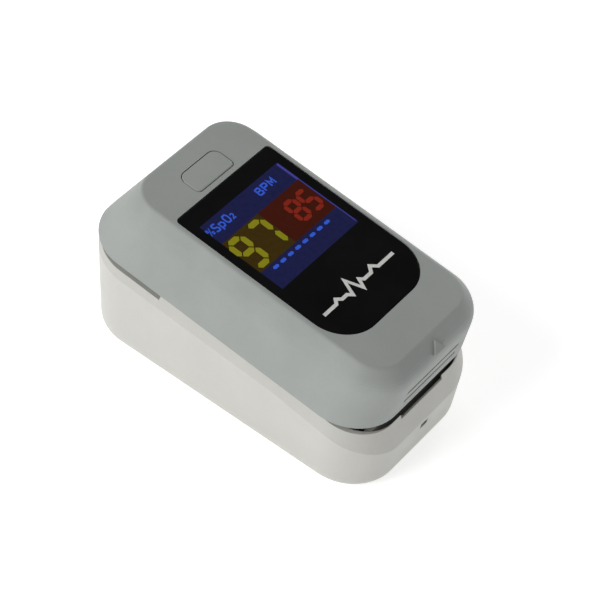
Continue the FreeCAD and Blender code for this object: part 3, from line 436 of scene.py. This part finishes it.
def stroke(points, width, closed=False):
    """A run of joined quads of one width along a line, as one polygon each, with mitred ends."""
    pts = [Vector((p[0], p[1])) for p in points]
    n = len(pts)
    left, right = [], []
    for i, p in enumerate(pts):
        a = pts[i - 1] if (i > 0 or closed) else None
        b = pts[(i + 1) % n] if (i < n - 1 or closed) else None
        if a is None:
            d = (b - p).normalized()
            m, k = Vector((-d.y, d.x)), 1.0
        elif b is None:
            d = (p - a).normalized()
            m, k = Vector((-d.y, d.x)), 1.0
        else:
            d1, d2 = (p - a).normalized(), (b - p).normalized()
            n1 = Vector((-d1.y, d1.x))
            m = (n1 + Vector((-d2.y, d2.x))).normalized()
            k = 1.0 / max(0.45, m.dot(n1))
        left.append(p + m * width / 2 * k)
        right.append(p - m * width / 2 * k)
    polys = []
    for i in range(n if closed else n - 1):
        j = (i + 1) % n
        polys.append([tuple(right[i]), tuple(right[j]), tuple(left[j]), tuple(left[i])])
    return polys


SEGMENTS = {"8": "abcdefg", "9": "abcdfg", "7": "abc", "5": "acdfg"}


def seven(char, x0, y0, w, h, t, gap=0.16):
    """Lozenge segments of one digit; (x0, y0) is its lower left corner."""
    out = []
    m = y0 + h / 2

    def across(y, xa, xb):
        r = t / 2
        return [(xa, y), (xa + r, y - r), (xb - r, y - r), (xb, y), (xb - r, y + r), (xa + r, y + r)]

    def up(x, ya, yb):
        r = t / 2
        return [(x, ya), (x + r, ya + r), (x + r, yb - r), (x, yb), (x - r, yb - r), (x - r, ya + r)]

    xl, xr = x0 + t / 2, x0 + w - t / 2
    yb, yt = y0 + t / 2, y0 + h - t / 2
    on = SEGMENTS[char]
    for c in on:
        if c == "a":
            out.append(across(yt, xl + gap, xr - gap))
        if c == "g":
            out.append(across(m, xl + gap, xr - gap))
        if c == "d":
            out.append(across(yb, xl + gap, xr - gap))
        if c == "f":
            out.append(up(xl, m + gap, yt - gap))
        if c == "b":
            out.append(up(xr, m + gap, yt - gap))
        if c == "e":
            out.append(up(xl, yb + gap, m - gap))
        if c == "c":
            out.append(up(xr, yb + gap, m - gap))
    return out


LETTER = {
    "B": [[(0, 0), (0, 1)], [(0, 1), (0.75, 1), (0.85, 0.78), (0.7, 0.54), (0, 0.54)], [(0.7, 0.54), (0.95, 0.3), (0.8, 0), (0, 0)]],
    "P": [[(0, 0), (0, 1), (0.8, 1), (0.95, 0.76), (0.8, 0.48), (0, 0.48)]],
    "M": [[(0, 0), (0, 1), (0.5, 0.35), (1, 1), (1, 0)]],
    "S": [[(0.9, 0.9), (0.7, 1), (0.2, 1), (0.05, 0.78), (0.2, 0.56), (0.75, 0.45), (0.92, 0.22), (0.75, 0), (0.2, 0), (0, 0.12)]],
    "p": [[(0, -0.32), (0, 0.62), (0.65, 0.62), (0.85, 0.4), (0.85, 0.2), (0.65, 0), (0, 0)]],
    "O": [[(0.2, 0), (0, 0.25), (0, 0.75), (0.2, 1), (0.75, 1), (0.95, 0.75), (0.95, 0.25), (0.75, 0), (0.2, 0)]],
    "2": [[(0.05, 0.85), (0.3, 1), (0.7, 1), (0.9, 0.75), (0.75, 0.5), (0, 0), (0.95, 0)]],
    "%": [[(0.12, 0), (0.88, 1)], [(0.02, 0.62), (0.02, 0.92), (0.30, 0.92), (0.30, 0.62), (0.02, 0.62)], [(0.72, 0.08), (0.72, 0.38), (1.0, 0.38), (1.0, 0.08), (0.72, 0.08)]],
}


def write(text, x, y, h, w, step, weight):
    polys = []
    for ch in text:
        k = 0.62 if ch == "2" else 1.0
        for line in LETTER[ch]:
            pts = [(x + px * w * k, y + py * h * k) for px, py in line]
            closed = len(pts) > 3 and pts[0] == pts[-1]
            polys += stroke(pts[:-1] if closed else pts, weight * {"2": 0.85, "%": 0.55}.get(ch, 1.0), closed)
        x += step * (0.75 if ch == "2" else 1.0)
    return polys


Z0 = TOP_Z
LIT = {
    "panel": emitter("screen_navy", (0.0085, 0.0095, 0.044), 0.7, grain=0.35),
    "olive": emitter("screen_olive", (0.030, 0.0175, 0.0025), 0.7, grain=0.35),
    "maroon": emitter("screen_maroon", (0.034, 0.0055, 0.0025), 0.7, grain=0.3),
    "yellow": emitter("screen_yellow", (0.135, 0.128, 0.006), 0.75),
    "red": emitter("screen_red", (0.125, 0.0110, 0.0055), 0.8),
    "blue": emitter("screen_blue", (0.020, 0.060, 0.36), 0.8),
    "violet": emitter("screen_violet", (0.035, 0.034, 0.19), 0.8, grain=0.3),
}
top_polygons("screen_field", [rect(-10.05, -5.2, 9.95, 11.5)], Z0 + 0.006, LIT["panel"])
top_polygons("screen_left_block", [rect(-10.05, -0.85, -0.95, 6.95)], Z0 + 0.011, LIT["olive"])
top_polygons("screen_right_block", [rect(-0.95, -0.85, 9.6, 6.95)], Z0 + 0.011, LIT["maroon"])
top_polygons("screen_edge_line", [rect(9.45, 7.0, 9.9, 11.3), rect(9.68, -4.9, 9.86, 7.0)], Z0 + 0.013, LIT["violet"])
top_polygons("digits_saturation", seven("9", -10.15, -0.5, 4.0, 7.1, 1.08) + seven("7", -5.1, -0.5, 4.0, 7.1, 1.08), Z0 + 0.016, LIT["yellow"])
top_polygons("digits_rate", seven("8", 3.0, 0.55, 2.95, 4.95, 0.80, 0.1) + seven("5", 6.15, 0.55, 2.95, 4.95, 0.80, 0.1), Z0 + 0.016, LIT["red"])
dash = lambda x: [(x - 0.68, -1.75), (x - 0.42, -2.05), (x + 0.42, -2.05), (x + 0.68, -1.75), (x + 0.42, -1.45), (x - 0.42, -1.45)]
top_polygons("level_dashes", [dash(x) for x in (-7.25, -5.38, -3.48, -1.57, 0.30, 2.20, 4.10, 6.0)], Z0 + 0.016, LIT["blue"])
top_polygons("label_left", write("%SpO2", -10.05, 8.95, 1.5, 0.98, 1.38, 0.30), Z0 + 0.016, LIT["blue"])
top_polygons("label_right", write("BPM", 2.45, 8.95, 1.35, 1.05, 1.52, 0.32), Z0 + 0.016, LIT["blue"])


def print_ink():
    m, nt, b = new_material("print_ink")
    vec = coords(nt)
    f = noise(nt, vec, 2.0, 4.0)
    nt.links.new(mix_color(nt, ramp(nt, f, 0, 1, 0.3, 0.7), (0.50, 0.50, 0.48), (0.62, 0.62, 0.60)), b.inputs["Base Color"])
    nt.links.new(ramp(nt, f, 0.4, 0.55), b.inputs["Roughness"])
    return m


# a printed pulse trace where the original has lettering
trace = [(-9.4, -12.9), (-6.2, -12.9), (-5.5, -12.2), (-4.7, -12.9), (-3.4, -12.9), (-2.7, -13.6), (-1.5, -10.9), (-0.3, -13.9),
         (0.5, -12.3), (1.1, -12.9), (3.0, -12.9), (3.9, -11.9), (4.9, -12.9), (8.9, -12.9)]
top_polygons("pulse_trace_print", stroke(trace, 0.62), Z0 + 0.006, print_ink())


# ------------------------------------------------------------------ soft pads
def soft_pad(name, node, voxel, body):
    src = NODES[node]
    o = bpy.data.objects.new(name, src.data.copy())
    bpy.context.scene.collection.objects.link(o)
    o.data.materials.clear()
    o.data.materials.append(MATS["silicone_dark"])
    r = o.modifiers.new("remesh", "REMESH")
    r.mode = "VOXEL"
    r.voxel_size = voxel
    r.adaptivity = 0.0
    sm = o.modifiers.new("soften", "SMOOTH")
    sm.factor = 0.5
    sm.iterations = 7
    dg = bpy.context.evaluated_depsgraph_get()
    me = bpy.data.meshes.new_from_object(o.evaluated_get(dg))
    o.modifiers.clear()
    o.data = me
    if not me.materials:
        me.materials.append(MATS["silicone_dark"])
    me.polygons.foreach_set("use_smooth", [True] * len(me.polygons))
    me.update()
    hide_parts(node)
    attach(o, body)
    return o


soft_pad("upper_pad_silicone", "upper_pad", 0.00024, "upper_case")
soft_pad("lower_pad_silicone", "lower_pad", 0.00024, "lower_case")

# ------------------------------------------------------------------ springs and cable
for side in ("left", "right"):
    src = NODES["spring_" + side]
    o = bpy.data.objects.new("spring_%s_wire" % side, src.data.copy())
    bpy.context.scene.collection.objects.link(o)
    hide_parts("spring_" + side)
    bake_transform(o)

lo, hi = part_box("flex_cable")
steps = 36
verts, faces = [], []
yc, half_t = -15.0, 0.075
z_lo, z_hi = None, None
base = SEAM.inverted()
ends = [base @ Vector((0, (lo.y + hi.y) / 2, lo.z)), base @ Vector((0, (lo.y + hi.y) / 2, hi.z))]
za, zb = ends[0].z / MM + 0.15, ends[1].z / MM - 0.15
yc = (ends[0].y + ends[1].y) / 2 / MM
for i in range(steps + 1):
    u = i / steps
    z = za + (zb - za) * u
    y = yc + 0.28 * math.sin(2 * math.pi * u) * math.sin(math.pi * u)
    for x in (-2.9, 2.9):
        for dy in (-half_t, half_t):
            verts.append(seam_point(x, y + dy, z))
for i in range(steps):
    a, b_ = 4 * i, 4 * (i + 1)
    for p, q in ((0, 1), (1, 3), (3, 2), (2, 0)):
        faces.append((a + p, a + q, b_ + q, b_ + p))
faces.append((0, 2, 3, 1))
faces.append((4 * steps, 4 * steps + 1, 4 * steps + 3, 4 * steps + 2))
ribbon = mesh_object("flex_ribbon", verts, faces, MATS["flex_amber"], None, smooth=True)
bm = bmesh.new()
bm.from_mesh(ribbon.data)
bmesh.ops.recalc_face_normals(bm, faces=bm.faces)
bm.to_mesh(ribbon.data)
bm.free()
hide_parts("flex_cable")
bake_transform(ribbon)

# ------------------------------------------------------------------ floor, light, camera
def floor_material():
    m, nt, b = new_material("studio_floor")
    vec = coords(nt)
    f = noise(nt, vec, 0.004, 3.0)
    nt.links.new(mix_color(nt, f, (0.86, 0.86, 0.86), (0.90, 0.90, 0.90)), b.inputs["Base Color"])
    b.inputs["Roughness"].default_value = 0.9
    b.inputs["Specular IOR Level"].default_value = 0.0
    b.inputs["Emission Color"].default_value = (1, 1, 1, 1)
    b.inputs["Emission Strength"].default_value = FLOOR_GLOW
    return m


FLOOR_GLOW = 0.50
me = bpy.data.meshes.new("studio_floor")
S = 4.0
me.from_pydata([(-S, -S, -0.0001), (S, -S, -0.0001), (S, S, -0.0001), (-S, S, -0.0001)], [], [(0, 1, 2, 3)])
floor = bpy.data.objects.new("studio_floor", me)
bpy.context.scene.collection.objects.link(floor)
me.materials.append(floor_material())

world = bpy.data.worlds.new("studio")
bpy.context.scene.world = world
world.use_nodes = True
wt = world.node_tree
tc = wt.nodes.new("ShaderNodeTexCoord")
sep = wt.nodes.new("ShaderNodeSeparateXYZ")
wt.links.new(tc.outputs["Generated"], sep.inputs[0])
glow = wt.nodes.new("ShaderNodeMapRange")      # the studio wall is lit low down, near the floor
glow.inputs["From Min"].default_value = 0.09
glow.inputs["From Max"].default_value = 0.24
glow.inputs["To Min"].default_value = 0.98
glow.inputs["To Max"].default_value = 0.39
wt.links.new(sep.outputs["Z"], glow.inputs["Value"])
wt.links.new(glow.outputs["Result"], wt.nodes["Background"].inputs["Strength"])
wt.nodes["Background"].inputs["Color"].default_value = (1.0, 1.0, 1.0, 1)


def area(name, az, el, dist, size, power, target=(0, 0, 0.015)):
    """Soft light; azimuth and elevation as for views, seen from the object."""
    ld = bpy.data.lights.new(name, "AREA")
    ld.shape = "DISK"
    ld.size = size
    ld.energy = power
    o = bpy.data.objects.new(name, ld)
    bpy.context.scene.collection.objects.link(o)
    a, e = math.radians(az), math.radians(el)
    d = Vector((math.sin(a) * math.cos(e), -math.cos(a) * math.cos(e), math.sin(e)))
    o.location = Vector(target) + d * dist
    o.rotation_euler = d.to_track_quat("Z", "Y").to_euler()
    return o


area("key_left", -114, 33, 0.9, 0.55, 4.8)
area("fill_back", 150, 40, 1.2, 0.8, 1.1)
area("fill_right", 98, 16, 1.0, 0.7, 2.8)

sc = bpy.context.scene
sc.view_settings.view_transform = "Standard"
sc.view_settings.look = "None"
sc.view_settings.exposure = 0.0
sc.view_settings.gamma = 1.0

AZ, EL, ROLL = -1.0449271574, 0.8201988362, 0.1718374140
FPX, DIST = 2441.2145750, 2441.2145750 / 6.2120807157
TX, TY, PX, PY = -0.481826521, 0.2482871379, 282.6899857978, 293.2754584121
back = Vector((math.sin(AZ) * math.cos(EL), -math.cos(AZ) * math.cos(EL), math.sin(EL)))
right0 = Vector((0, 0, 1)).cross(back).normalized()
up0 = back.cross(right0)
right = right0 * math.cos(ROLL) + up0 * math.sin(ROLL)
up = up0 * math.cos(ROLL) - right0 * math.sin(ROLL)
centre = Vector((0, SEAM_Y, 15.0)) - right * TX - up * TY + back * DIST
cd = bpy.data.cameras.new("camera")
cam = bpy.data.objects.new("camera", cd)
sc.collection.objects.link(cam)
cam.matrix_world = Matrix((
    (right.x, up.x, back.x, centre.x * MM),
    (right.y, up.y, back.y, centre.y * MM),
    (right.z, up.z, back.z, centre.z * MM),
    (0, 0, 0, 1),
))
cd.sensor_width = 36.0
cd.lens = FPX * 36.0 / 600
cd.shift_x = (300 - PX) / 600
cd.shift_y = (PY - 300) / 600
cd.clip_start = 0.01
cd.clip_end = 20
cd.dof.use_dof = False
sc.camera = cam
